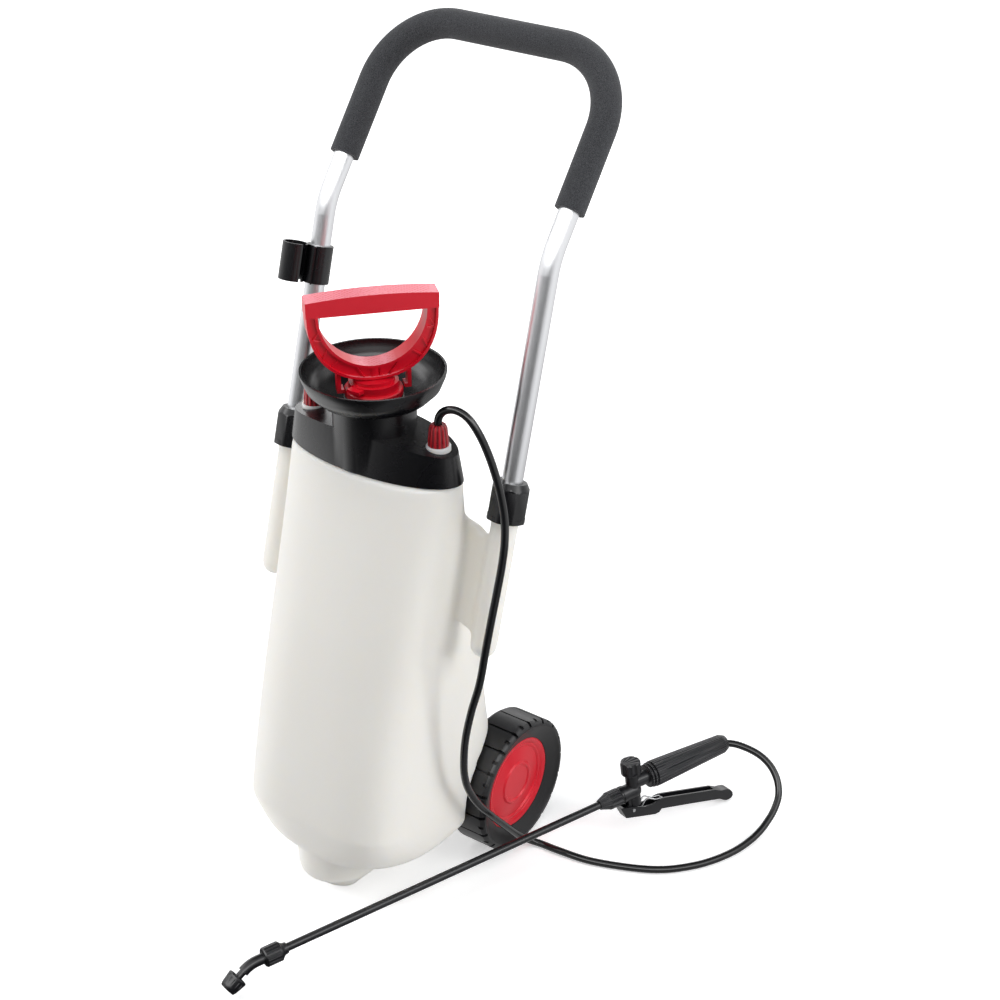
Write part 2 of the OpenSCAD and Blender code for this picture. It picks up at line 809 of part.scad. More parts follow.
module axle() {
    color("silver") translate([0, axle_y, wheel_r]) rotate([0, 90, 0])
        cylinder(r = axle_r, h = 2 * (wheel_in + hub_z + 9), center = true);
}

module axle_washers() {
    color("silver") for (side = [-1, 1]) at_wheel(side) {
        translate([0, 0, well_in - wheel_in]) ring(axle_r + run_gap, 11, 1);
        translate([0, 0, hub_z]) ring(axle_r + run_gap, 10, 1.2);
    }
}

module axle_nuts() {
    color("silver") for (side = [-1, 1]) at_wheel(side) translate([0, 0, hub_z + 1.2]) difference() {
        cylinder(r = 9.2, h = 6, $fn = 6);
        translate([0, 0, -1]) cylinder(r = axle_r, h = 8);
    }
}

// The black wheel: a thin drum with a web and hub, and lugs with grooves between.
module wheel(side) {
    low = well_in - wheel_in + 1;
    color("dimgray") at_wheel(side) difference() {
        turned([
            [axle_r + run_gap, low],
            [12, low],
            [13, hub_z - 5],
            [wheel_r - 8, hub_z - 5],
            [wheel_r - 8, 0],
            [wheel_r - 3, 0],
            [wheel_r, 4],
            [wheel_r, wheel_w - 4],
            [wheel_r - 1.5, wheel_w - 1.5],
            [wheel_r - 4, wheel_w],
            [wheel_r - 7, wheel_w],
            [wheel_r - 8, wheel_w - 1],
            [disc_r + 2, wheel_w - disc_sink],
            [disc_r, wheel_w - disc_sink - 1],
            [disc_r, hub_z],
            [axle_r + run_gap, hub_z]
        ]);
        for (i = [0 : lugs - 1]) rotate([0, 0, (i + 0.5) * 360 / lugs]) {
            translate([wheel_r - lug_h + 1.4, -1.1, -1]) cube([9, 2.2, wheel_w + 2]);
            translate([wheel_r - lug_h, -2, wheel_w - 7]) cube([9, 4, 8]);
            rotate([0, 0, 180 / lugs]) translate([wheel_r - 2, -2, wheel_w - 7]) cube([9, 4, 8]);
        }
    }
}

module wheel_left() { wheel(-1); }
module wheel_right() { wheel(1); }

module wheel_disc(side) {
    t = 2.2;
    color("crimson") at_wheel(side) translate([0, 0, wheel_w - disc_sink]) turned([
        [0, -3], [21, -3], [22.5, -1.6], [25, -1.6], [27, -3.4], [44, -6], [46, -4.2], [48, -4.2],
        [50.5, -2], [54, -0.6], [disc_r - 1, -0.8], [disc_r, -1.8], [disc_r, -12], [disc_r - t, -12],
        [disc_r - t, -2 - t], [51, -2 - t], [47, -4.6 - t], [44, -6 - t], [27, -3.6 - t], [0, -3 - t]
    ]);
}

module wheel_disc_left() { wheel_disc(-1); }
module wheel_disc_right() { wheel_disc(1); }

// ---- Swept forms ----

// Places along a smooth line through knots, with a number of steps for each span.
function knot(k, i) = i < 0 ? 2 * k[0] - k[1]
    : i > len(k) - 1 ? 2 * k[len(k) - 1] - k[len(k) - 2] : k[i];
function between(k, i, t) =
    let (a = knot(k, i - 1), b = knot(k, i), c = knot(k, i + 1), d = knot(k, i + 2))
    0.5 * (2 * b + (c - a) * t + (2 * a - 5 * b + 4 * c - d) * t * t
        + (3 * b - a - 3 * c + d) * t * t * t);
function line(k, steps) = concat(
    [for (i = [0 : len(k) - 2]) for (s = [0 : steps[i] - 1]) between(k, i, s / steps[i])],
    [k[len(k) - 1]]);

// Directions along a line of points: straight at both ends.
function headings(p, k) = [for (i = [0 : len(p) - 1])
    i == 0 ? unit(k[1] - k[0])
    : i == len(p) - 1 ? unit(k[len(k) - 1] - k[len(k) - 2])
    : unit(p[i + 1] - p[i - 1])];

// Each ring's first direction is the last one's, leaned to stay square to the line.
function square_to(v, t) = unit(v - (v * t) * t);
function uprights(h, first) =
    [for (i = 0, v = square_to(first, h[0]); i < len(h); i = i + 1,
        v = i < len(h) ? square_to(v, h[i]) : v) v];

module swept(k, steps, r, sides, first) {
    p = line(k, steps);
    h = headings(p, k);
    v = uprights(h, first);
    skin([for (i = [0 : len(p) - 1]) let (w = cross(h[i], v[i]))
        [for (j = [0 : sides - 1]) let (a = j * 360 / sides)
            p[i] + r * (cos(a) * v[i] + sin(a) * w)]]);
}

// A coil spring of a mean radius, wire radius and height.
module coil(mean, wire, h, turns) {
    n = turns * 12;
    k = [for (i = [0 : n]) let (a = i * 30) [mean * cos(a), mean * sin(a), mix(wire, h - wire, i / n)]];
    swept(k, [for (i = [0 : n]) 1], wire, 6, [0, 0, 1]);
}

// ---- Hose ----

function turn_x(v, a) = [v.x, v.y * cos(a) - v.z * sin(a), v.y * sin(a) + v.z * cos(a)];
function turn_y(v, a) = [v.x * cos(a) + v.z * sin(a), v.y, v.z * cos(a) - v.x * sin(a)];
function turn_z(v, a) = [v.x * cos(a) - v.y * sin(a), v.x * sin(a) + v.y * cos(a), v.z];
function gun_point(v) = [gun_x, gun_y, gun_z]
    + turn_z(turn_y(turn_x(v, gun_roll), -gun_pitch), gun_yaw);
function grip_point(z) = gun_point([hand_x + z * cos(hand_dip), 0, hand_z - z * sin(hand_dip)]);

module hose() {
    k = concat(hose_route, [grip_point(hand_l - mouth_h + 5), grip_point(hand_l - mouth_h)]);
    steps = [for (i = [0 : len(k) - 2]) ceil(norm(k[i + 1] - k[i]) / 24)];
    color("dimgray") swept(k, steps, hose_r, 10, [1, 0, 0]);
}

// ---- Gun ----

// The gun's own frame: X runs back along the lance towards the hose, Z up.
module at_gun() {
    translate([gun_x, gun_y, gun_z]) rotate([gun_roll, -gun_pitch, gun_yaw]) children();
}

// Along the gun from a place x, with Z running back.
module back_from(x) {
    translate([x, 0, 0]) rotate([0, 90, 0]) children();
}

// Along the hand grip, with Z running back from its front.
module along_grip() {
    translate([hand_x, 0, hand_z]) rotate([0, 90 + hand_dip, 0]) children();
}

module gun_body() {
    color("dimgray") at_gun() difference() {
        union() {
            back_from(14) cylinder(r = 8, h = 16);
            back_from(28.3) cylinder(r = 9.4, h = 20);
            back_from(30.5) cylinder(r = 10.2, h = 4);
            translate([valve_x, 0, -18]) cylinder(r = 8, h = valve_top_z + 18);
            translate([valve_x, 0, 0]) sphere(r = 9.6);
            along_grip() translate([0, 0, -18]) cylinder(r = 8.4, h = 18);
            for (side = [-1, 1]) translate([lever_x, side * 3.4, 0]) rotate([90, 0, 0]) {
                translate([0, lever_z, 0]) cylinder(r = 4.4, h = 1.6, center = true);
                translate([-4.4, lever_z, -0.8]) cube([12, -lever_z - 4, 1.6]);
            }
        }
        back_from(13) cylinder(r = lance_r + run_gap, h = 9);
        back_from(13) cylinder(r = 3, h = valve_x - 13);
        translate([valve_x, 0, -19]) cylinder(r = stem_r + run_gap, h = 30);
        translate([valve_x, 0, valve_seat_z]) cylinder(r = 5.5 + run_gap, h = 40);
        along_grip() translate([0, 0, -6]) cylinder(r = 6 + run_gap, h = 10);
        along_grip() translate([0, 0, -19]) cylinder(r = hose_bore_r, h = 20);
        translate([lever_x, 0, lever_z]) rotate([90, 0, 0]) cylinder(r = 2, h = 20, center = true);
    }
}

module hand_grip() {
    flute_lean = atan((hand_r - hand_end_r) / (hand_l - 14));
    color("dimgray") at_gun() along_grip() difference() {
        turned([
            [6 + run_gap, 0],
            [12, 0],
            [14, 0.8],
            [14, 2.6],
            [12.4, 2.8],
            [12.4, 4.4],
            [14.8, 4.6],
            [14.8, 6.6],
            [13.4, 6.8],
            [13.4, 8.4],
            [hand_r, 9],
            [hand_r, 14],
            [hand_end_r, hand_l - 6],
            [hand_end_r - 2.6, hand_l],
            [7.4, hand_l],
            [7.4, hand_l - mouth_h],
            [6 + run_gap, hand_l - mouth_h]
        ]);
        for (i = [0 : 17]) rotate([0, 0, i * 20]) translate([hand_r + 0.35, 0, 22])
            rotate([0, -flute_lean, 0]) cylinder(r = 1.1, h = hand_l, $fn = 6);
    }
}

module hose_tail() {
    color("black") at_gun() along_grip() translate([0, 0, -6]) ring(hose_bore_r, 6, hand_l - mouth_h + 6);
}

module lever_sheet(width, points) {
    rotate([90, 0, 0]) linear_extrude(width, center = true) polygon(points);
}

module lever() {
    color("dimgray") at_gun() difference() {
        lever_sheet(lever_w, [
            [24.2, -12.7], [30.8, -28.8], [51.2, -35], [70.9, -40.8], [76.7, -40.6], [80.7, -37.5],
            [119.9, -48.2], [164.2, -60.8], [169.2, -64.4], [173.2, -66.6], [177.2, -67.2],
            [181.2, -66.4], [183.7, -63.7], [183.6, -59.7], [180.7, -55], [177.2, -52.6],
            [172.2, -51.2], [167.2, -50.4], [162, -47.5], [158, -45.2], [153.2, -43.8],
            [117.7, -33.6], [92, -26.2], [86, -24.6], [80, -24.5], [70, -26], [57.2, -24.7],
            [47.2, -20.2]
        ]);
        lever_sheet(lever_w - 4, [
            [27.2, -8.2], [33.6, -27.4], [51.2, -32.7], [71.2, -38.4], [76.2, -38.2], [80.2, -35.2],
            [119.2, -45.8], [153.2, -55.4], [158, -48], [158, -30], [101.2, 1.8]
        ]);
        translate([lever_x, 0, lever_z]) rotate([90, 0, 0])
            cylinder(r = 2 + run_gap, h = 30, center = true);
    }
}

module lever_pin() {
    color("silver") at_gun() translate([lever_x, 0, lever_z]) rotate([90, 0, 0])
        cylinder(r = 2, h = lever_w + 1.6, center = true);
}

module lock_clip() {
    half = [[51, -28.7], [57, -23], [62, -17.5], [67, -18.5], [74, -23], [81, -24.5], [85, -26]];
    k = concat(
        [for (p = half) [p[0], -lever_w / 2 + 3.2, p[1]]],
        [for (i = [len(half) - 1 : -1 : 0]) [half[i][0], lever_w / 2 - 3.2, half[i][1]]]);
    color("silver") at_gun() swept(k, [for (i = k) 2], 0.9, 8, [0, 1, 0]);
}

module valve_stem() {
    color("silver") at_gun() translate([valve_x, 0, 0]) turned([
        [0, stem_low_z], [stem_r, stem_low_z], [stem_r, -7], [1.6, -7], [1.6, valve_seat_z + 2],
        [5, valve_seat_z + 2], [5, valve_seat_z + 4], [0, valve_seat_z + 4]
    ]);
}

module valve_seal() {
    color("black") at_gun() translate([valve_x, 0, valve_seat_z]) ring(1.6, 5, 2);
}

module valve_spring() {
    color("silver") at_gun() translate([valve_x, 0, valve_seat_z + 4])
        coil(3.9, 0.5, valve_top_z - 4 - valve_seat_z - 4, 3);
}

module valve_cap() {
    color("dimgray") at_gun() translate([valve_x, 0, valve_top_z]) difference() {
        union() {
            translate([0, 0, -4]) cylinder(r = 5.5, h = 4);
            turned([[0, 0], [11.4, 0], [12, 1], [12, 14.5], [11, 16], [0, 16]]);
        }
        for (a = [0 : 60 : 300]) rotate([0, 0, a + 20]) translate([15.4, 0, 2]) cylinder(r = 5, h = 20);
    }
}

// ---- Lance ----

module lance_nut() {
    color("dimgray") at_gun() back_from(0) difference() {
        turned([
            [lance_r + run_gap, 0],
            [6, 0],
            [6.6, 2],
            [9.6, 10.5],
            [lance_nut_r, 12],
            [lance_nut_r, 26.6],
            [lance_nut_r - 1, 28],
            [8 + run_gap, 28],
            [8 + run_gap, 12],
            [lance_r + run_gap, 12]
        ]);
        translate([0, 0, 12.6]) flutes(20, lance_nut_r + 0.4, 1, 18);
    }
}

module lance_seal() {
    color("black") at_gun() back_from(12) ring(lance_r, 8, 2);
}

module lance_tube() {
    color("gray") at_gun() back_from(-lance_l - 8) ring(lance_r - 1.3, lance_r, lance_l + 30);
}

// At the lance's far end, with Z running forwards and X up.
module at_far_end() {
    at_gun() translate([-lance_l, 0, 0]) rotate([0, -90, 0]) children();
}

// After the elbow's bend, with Z running out of it.
module at_tip() {
    at_far_end() translate([-elbow_r, 0, nozzle_nut_h + nozzle_neck]) rotate([0, -elbow_bend, 0])
        translate([elbow_r, 0, 0]) children();
}

module nozzle_nut() {
    color("dimgray") at_far_end() difference() {
        turned([
            [lance_r + run_gap, 0],
            [6.2, 0],
            [6.8, 4],
            [9.2, 7],
            [nozzle_nut_r, 8.5],
            [nozzle_nut_r, nozzle_nut_h - 1.4],
            [nozzle_nut_r - 1, nozzle_nut_h],
            [7.5 + run_gap, nozzle_nut_h],
            [7.5 + run_gap, 10],
            [lance_r + run_gap, 10]
        ]);
        translate([0, 0, 9.5]) flutes(18, nozzle_nut_r + 0.4, 1.1, nozzle_nut_h - 11);
    }
}

module nozzle_elbow() {
    bore_run = elbow_r * tan(elbow_bend / 2) + 1;
    color("dimgray") difference() {
        union() {
            at_far_end() translate([0, 0, 10]) cylinder(r = 7.5, h = nozzle_nut_h - 9);
            at_far_end() translate([0, 0, 11])
                cylinder(r = elbow_tube_r + seam, h = nozzle_nut_h + nozzle_neck - 11 + seam_lap);
            at_far_end() translate([-elbow_r, 0, nozzle_nut_h + nozzle_neck]) rotate([90, 0, 0])
                rotate_extrude(angle = elbow_bend) translate([elbow_r, 0]) circle(r = elbow_tube_r);
            at_tip() {
                translate([0, 0, -seam_lap]) cylinder(r = elbow_tube_r + seam, h = 3);
                cylinder(r = 4, h = cap_start + 10);
            }
        }
        at_far_end() {
            cylinder(r = lance_r + run_gap, h = 18);
            cylinder(r = 2.5, h = nozzle_nut_h + nozzle_neck + bore_run);
        }
        at_tip() translate([0, 0, -bore_run]) cylinder(r = 2.5, h = bore_run + 30);
    }
}

module nozzle_core() {
    color("goldenrod") at_tip() difference() {
        union() {
            translate([0, 0, cap_start + 5]) cylinder(r = 2.5, h = 5);
            translate([0, 0, cap_start + 10]) cylinder(r = 3.6, h = 5);
        }
        for (side = [-1, 1]) translate([side * 3.4, 0, cap_start + 9]) cylinder(r = 0.9, h = 7);
    }
}

module nozzle_cap() {
    color("dimgray") at_tip() difference() {
        turned([
            [4 + run_gap, cap_start],
            [nozzle_r - 1, cap_start],
            [nozzle_r, cap_start + 1],
            [nozzle_r - 0.4, cap_start + 4],
            [nozzle_r - 1.8, tip_l - 3],
            [nozzle_r - 3, tip_l],
            [0.9, tip_l],
            [0.9, cap_start + 15],
            [4 + run_gap, cap_start + 15]
        ]);
        translate([0, 0, cap_start + 3]) flutes(14, nozzle_r - 0.2, 1.2, tip_l);
    }
}

tank();
shroud();
funnel();
outlet_nut();
dip_tube();
dip_filter();
relief_knob();
relief_stem();
relief_spring();
relief_seal();
pump_gasket();
pump_cap();
pump_barrel();
foot_valve();
piston();
piston_seal();
pump_rod();
pump_handle();
handle_tube();
foam_grip();
collar_left();
collar_right();
collet_left();
collet_right();
lance_clip();
axle();
axle_washers();
axle_nuts();
wheel_left();
wheel_right();
wheel_disc_left();
wheel_disc_right();
hose();
gun_body();
hand_grip();
hose_tail();
lever();
lever_pin();
lock_clip();
valve_stem();
valve_seal();
valve_spring();
valve_cap();
lance_nut();
lance_seal();
lance_tube();
nozzle_nut();
nozzle_elbow();
nozzle_core();
nozzle_cap();
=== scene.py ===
import json
import math
import bpy
import bmesh
import numpy as np
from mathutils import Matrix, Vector

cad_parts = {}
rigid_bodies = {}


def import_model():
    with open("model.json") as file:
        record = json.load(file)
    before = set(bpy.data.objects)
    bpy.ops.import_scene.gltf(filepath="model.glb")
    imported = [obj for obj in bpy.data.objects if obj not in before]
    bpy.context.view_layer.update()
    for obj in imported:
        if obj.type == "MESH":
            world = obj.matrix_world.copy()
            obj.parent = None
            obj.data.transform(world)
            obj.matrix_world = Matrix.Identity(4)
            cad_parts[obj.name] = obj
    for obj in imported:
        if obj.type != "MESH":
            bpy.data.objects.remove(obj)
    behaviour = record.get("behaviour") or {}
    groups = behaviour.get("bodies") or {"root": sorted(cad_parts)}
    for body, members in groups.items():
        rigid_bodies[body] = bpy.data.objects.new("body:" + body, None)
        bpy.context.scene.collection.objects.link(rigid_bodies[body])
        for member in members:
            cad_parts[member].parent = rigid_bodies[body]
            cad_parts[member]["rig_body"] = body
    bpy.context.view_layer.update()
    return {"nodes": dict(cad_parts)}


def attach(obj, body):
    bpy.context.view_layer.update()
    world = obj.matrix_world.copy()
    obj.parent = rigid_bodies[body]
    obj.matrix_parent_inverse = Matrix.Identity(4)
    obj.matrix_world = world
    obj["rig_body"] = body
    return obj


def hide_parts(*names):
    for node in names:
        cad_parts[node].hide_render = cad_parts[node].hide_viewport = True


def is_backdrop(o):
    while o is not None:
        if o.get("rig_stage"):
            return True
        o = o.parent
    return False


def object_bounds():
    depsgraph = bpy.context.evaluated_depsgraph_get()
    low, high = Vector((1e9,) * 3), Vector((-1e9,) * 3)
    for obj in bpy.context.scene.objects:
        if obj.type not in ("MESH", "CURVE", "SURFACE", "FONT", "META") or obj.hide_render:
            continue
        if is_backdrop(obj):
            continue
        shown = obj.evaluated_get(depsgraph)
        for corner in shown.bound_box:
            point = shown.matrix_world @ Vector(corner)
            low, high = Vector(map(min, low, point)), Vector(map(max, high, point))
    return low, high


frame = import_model()
mm = 0.001


# ---- Studio: camera, floor and lamps ----
# A pale sweep of paper lit by large soft boxes. The paper reads as white behind the part
# and keeps the part's soft shadow. The lens stands to the front right, well above the tank.

def to_linear(code):
    """Linear colour of an sRGB hex code: each channel over 255, then the standard curve."""
    value = np.array([int(code[i:i + 2], 16) for i in (1, 3, 5)]) / 255
    value = np.where(value <= 0.04045, value / 12.92, ((value + 0.055) / 1.055) ** 2.4)
    return (*value.tolist(), 1.0)


def add_node(tree, kind, settings=None, links=None):
    """Adds one node, sets its attributes or sockets by name, and links its inputs."""
    node = tree.nodes.new(kind)
    for key, value in (settings or {}).items():
        if isinstance(key, str) and hasattr(node, key):
            setattr(node, key, value)
        else:
            node.inputs[key].default_value = value
    for key, socket in (links or {}).items():
        tree.links.new(socket, node.inputs[key])
    return node


VIEW_DOWN, VIEW_ROUND = 29.08, 35.93  # degrees the lens looks down, and round from the front

scene = bpy.context.scene
scene.view_settings.view_transform = "Standard"
camera = bpy.data.objects.new("camera", bpy.data.cameras.new("camera"))
scene.collection.objects.link(camera)
camera.location = (1.177, -1.321, 1.474)
camera.rotation_euler = (math.radians(90 - VIEW_DOWN), 0, math.radians(VIEW_ROUND))
camera.data.sensor_width = 36
camera.data.lens = 70.947
camera.data.clip_end = 20
scene.camera = camera

scene.world = bpy.data.worlds.new("studio")
scene.world.use_nodes = True
sky = scene.world.node_tree
sky.nodes.clear()


def grey_ramp(tree, socket, stops, blend="EASE"):
    """Brightness by a value from 0 to 1: stops of (place, level), blended between."""
    node = add_node(tree, "ShaderNodeValToRGB", links={0: socket})
    ramp = node.color_ramp
    ramp.interpolation = blend
    while len(ramp.elements) < len(stops):
        ramp.elements.new(0.5)
    for stop, (place, level) in zip(ramp.elements, stops):
        stop.position = place
        stop.color = (level, level, level, 1)
    return node.outputs[0]


def round_wall(tree, vector, stops):
    """Brightness by heading round the part: stops of (degrees from +X, level)."""
    split = add_node(tree, "ShaderNodeSeparateXYZ", links={0: vector})
    heading = add_node(tree, "ShaderNodeMath", {"operation": "ARCTAN2"},
                       {0: split.outputs["Y"], 1: split.outputs["X"]})
    around = add_node(tree, "ShaderNodeMapRange", {1: -math.pi, 2: math.pi},
                      {0: heading.outputs[0]})
    return grey_ramp(tree, around.outputs[0], [((degrees + 180) / 360, level)
                                               for degrees, level in stops])


seen = add_node(sky, "ShaderNodeLightPath")
ambient = add_node(sky, "ShaderNodeBackground",
                   {"Color": to_linear("#F4F6FA"), "Strength": 0.36})
paper_white = add_node(sky, "ShaderNodeBackground", {"Color": (1, 1, 1, 1), "Strength": 1.0})
view = add_node(sky, "ShaderNodeTexCoord").outputs["Generated"]
# What gloss sees of the studio: bright walls left and right of the lens, a dark gap between
# them low down, and above it a pale ceiling that stops short of the far side.
WALL = [(-180, 1.14), (-150, 1.1), (-122, 0.55), (-100, 0.14), (-66, 0.05), (-44, 0.12),
        (-16, 0.8), (12, 1.14), (70, 1.0), (120, 0.8), (180, 1.14)]
low_wall = round_wall(sky, view, WALL)
high_wall = round_wall(sky, view, [
    (-180, 0.7), (-150, 1.0), (-100, 1.2), (-40, 1.2), (10, 1.0), (50, 0.4), (90, 0.06),
    (140, 0.05), (165, 0.2), (180, 0.7)])
up = add_node(sky, "ShaderNodeSeparateXYZ", links={0: view}).outputs["Z"]
height = add_node(sky, "ShaderNodeMapRange",
                  {"interpolation_type": "SMOOTHSTEP", 1: 0.12, 2: 0.45}, {0: up})
# A strip lamp under the ceiling draws the long thin highlights on hose, lance and rims.
strip = grey_ramp(sky, up, [(0.42, 0.2), (0.54, 1), (0.64, 1), (0.76, 0.2)])
brighter = add_node(sky, "ShaderNodeVectorMath", {"operation": "MULTIPLY", 1: (5, 5, 5)},
                    {0: strip})
ceiling = add_node(sky, "ShaderNodeVectorMath", {"operation": "MULTIPLY"},
                   {0: high_wall, 1: brighter.outputs[0]})
# A thin strip far behind the part draws a light line along rims and round edges.
line = grey_ramp(sky, up, [(0.16, 0), (0.20, 1), (0.32, 1), (0.38, 0)], "LINEAR")
far_wall = round_wall(sky, view, [(-180, 0.2), (60, 0.0), (85, 3.2), (160, 3.2), (180, 0.2)])
far_line = add_node(sky, "ShaderNodeVectorMath", {"operation": "MULTIPLY"},
                    {0: far_wall, 1: line})
walls = add_node(sky, "ShaderNodeMix", {"data_type": "RGBA"},
                 {0: height.outputs[0], 6: low_wall, 7: ceiling.outputs[0]})
room = add_node(sky, "ShaderNodeVectorMath", {"operation": "ADD"},
                {0: walls.outputs[2], 1: far_line.outputs[0]})
mirrored = add_node(sky, "ShaderNodeBackground", {"Strength": 1.0}, {"Color": room.outputs[0]})
soft = add_node(sky, "ShaderNodeMixShader", links={
    0: seen.outputs["Is Glossy Ray"], 1: ambient.outputs[0], 2: mirrored.outputs[0]})
clear = add_node(sky, "ShaderNodeMath", {"operation": "MAXIMUM"},
                 {0: seen.outputs["Is Camera Ray"], 1: seen.outputs["Is Transmission Ray"]})
whole = add_node(sky, "ShaderNodeMixShader", links={
    0: clear.outputs[0], 1: soft.outputs[0], 2: paper_white.outputs[0]})
add_node(sky, "ShaderNodeOutputWorld", links={"Surface": whole.outputs[0]})

floor_mesh = bpy.data.meshes.new("floor")
floor_mesh.from_pydata([(-6, -6, 0), (6, -6, 0), (6, 6, 0), (-6, 6, 0)], [], [(0, 1, 2, 3)])
floor = bpy.data.objects.new("floor", floor_mesh)
scene.collection.objects.link(floor)
floor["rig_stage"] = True
paper = bpy.data.materials.new("paper_sweep")
paper.use_nodes = True
tree = paper.node_tree
tree.nodes.clear()
seen = add_node(tree, "ShaderNodeLightPath")
matt = add_node(tree, "ShaderNodeBsdfDiffuse", {"Color": to_linear("#F2F2F2")})
# Far from the part the paper glows by itself to the lens, so that it runs out into white.
spot = add_node(tree, "ShaderNodeTexCoord").outputs["Object"]
away = add_node(tree, "ShaderNodeVectorMath", {"operation": "LENGTH"}, {0: spot})
fade = add_node(tree, "ShaderNodeMapRange", {"interpolation_type": "SMOOTHSTEP",
                                             1: 0.6, 2: 1.7, 3: 0.44, 4: 1.0},
                {0: away.outputs["Value"]})
lift = add_node(tree, "ShaderNodeMath", {"operation": "MULTIPLY"},
                {0: seen.outputs["Is Camera Ray"], 1: fade.outputs[0]})
glow = add_node(tree, "ShaderNodeEmission", {"Color": (1, 1, 1, 1)},
                {"Strength": lift.outputs[0]})
lit = add_node(tree, "ShaderNodeAddShader", links={0: matt.outputs[0], 1: glow.outputs[0]})
# In gloss the paper is dark in front of the part and bright to its left, as lit from there.
floor_wall = round_wall(tree, spot, [
    (-180, 1.2), (-164, 1.6), (-146, 1.5), (-130, 0.6), (-110, 0.08), (-66, 0.02), (-36, 0.12),
    (-14, 0.42), (12, 0.30), (50, 0.65), (110, 0.30), (180, 1.2)])
reach = add_node(tree, "ShaderNodeMapRange",
                 {"interpolation_type": "SMOOTHSTEP", 1: 1.0, 2: 1.9}, {0: away.outputs["Value"]})
floor_seen = add_node(tree, "ShaderNodeMix", {"data_type": "RGBA"}, {
    0: reach.outputs[0], 6: floor_wall, 7: round_wall(tree, spot, WALL)})
near = add_node(tree, "ShaderNodeEmission", {"Strength": 1.0}, {"Color": floor_seen.outputs[2]})
paper_seen = add_node(tree, "ShaderNodeMixShader", links={
    0: seen.outputs["Is Glossy Ray"], 1: lit.outputs[0], 2: near.outputs[0]})
add_node(tree, "ShaderNodeOutputMaterial", links={"Surface": paper_seen.outputs[0]})
floor_mesh.materials.append(paper)


def soft_box(name, place, aim, width, height, watts):
    """A rectangular lamp at a place, turned to face a point."""
    lamp = bpy.data.lights.new(name, "AREA")
    lamp.shape = "RECTANGLE"
    lamp.size, lamp.size_y = width, height
    lamp.energy = watts
    box = bpy.data.objects.new(name, lamp)
    box.location = place
    box.rotation_euler = (Vector(aim) - Vector(place)).to_track_quat("-Z", "Y").to_euler()
    box.visible_glossy = False
    scene.collection.objects.link(box)


soft_box("box_left", (-2.0, -1.2, 1.5), (0, 0.1, 0.4), 1.1, 1.7, 34)
soft_box("box_right", (2.1, 0.5, 1.3), (0, 0.1, 0.4), 0.9, 1.6, 30)
soft_box("box_top", (0.1, -0.2, 2.6), (0, 0.1, 0.3), 1.8, 1.4, 20)
soft_box("box_back", (-0.9, 2.2, 1.6), (0, 0.1, 0.5), 1.2, 1.2, 12)


# ---- Hose ----
# A smooth black extruded PVC hose, 8.4 mm across. It leaves the outlet's nut, falls beside
# the tank, lies in a wide loop on the ground and rises into the end of the hand grip.

def through(knots, steps):
    """Catmull-Rom line: each span blends its own two knots and one beyond each end."""
    k = np.vstack([2 * knots[0] - knots[1], knots, 2 * knots[-1] - knots[-2]])
    rows = []
    for i, n in enumerate(steps):
        t = (np.arange(n) / n)[:, None]
        a, b, c, d = k[i], k[i + 1], k[i + 2], k[i + 3]
        rows.append(0.5 * (2 * b + (c - a) * t + (2 * a - 5 * b + 4 * c - d) * t ** 2
                           + (3 * b - a - 3 * c + d) * t ** 3))
    return np.vstack(rows + [knots[-1:]])


def carried(path):
    """Two unit directions square to a path at each point, each leaned on from the last."""
    ahead = np.gradient(path, axis=0)
    ahead /= np.linalg.norm(ahead, axis=1)[:, None]
    side = np.cross(ahead[0], (0.3, 0.2, 1.0))
    sides = []
    for direction in ahead:
        side = side - direction * (side @ direction)
        side = side / np.linalg.norm(side)
        sides.append(side)
    sides = np.array(sides)
    return sides, np.cross(ahead, sides)


def tube_grid(path, radius, sides):
    """Rings of points round a path: centre plus radius times cosine and sine of the turn."""
    u, v = carried(path)
    turn = np.linspace(0, 2 * math.pi, sides, endpoint=False)
    return path[:, None] + radius * (np.cos(turn)[None, :, None] * u[:, None]
                                     + np.sin(turn)[None, :, None] * v[:, None])


def ring_faces(rows, columns):
    """Corner numbers of the quads of a grid whose columns close on themselves."""
    i, j = np.meshgrid(np.arange(rows - 1), np.arange(columns), indexing="ij")
    k = (j + 1) % columns
    quads = np.stack([i * columns + j, i * columns + k, (i + 1) * columns + k,
                      (i + 1) * columns + j], -1)
    return quads.reshape(-1, 4)


def add_piece(name, points, faces, body, material):
    """A new smooth-shaded object from points in millimetres, riding on a body."""
    mesh = bpy.data.meshes.new(name)
    mesh.from_pydata((np.asarray(points) * mm).tolist(), [], [tuple(f) for f in faces])
    mesh.materials.append(material)
    mesh.shade_smooth()
    mesh.set_sharp_from_angle(angle=math.radians(40))
    piece = bpy.data.objects.new(name, mesh)
    scene.collection.objects.link(piece)
    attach(piece, body)
    return piece


def closed_grid(grid):
    """Points and faces of a tube-like grid with both ends closed by one face each."""
    rows, columns = grid.shape[:2]
    faces = ring_faces(rows, columns).tolist()
    faces.append(list(range(columns))[::-1])
    faces.append([(rows - 1) * columns + j for j in range(columns)])
    return grid.reshape(-1, 3), faces


def new_material(name):
    """A material, its node tree, its shader and the place on the object that patterns read."""
    material = bpy.data.materials.new(name)
    material.use_nodes = True
    tree = material.node_tree
    place = add_node(tree, "ShaderNodeTexCoord").outputs["Object"]
    return material, tree, tree.nodes["Principled BSDF"], place


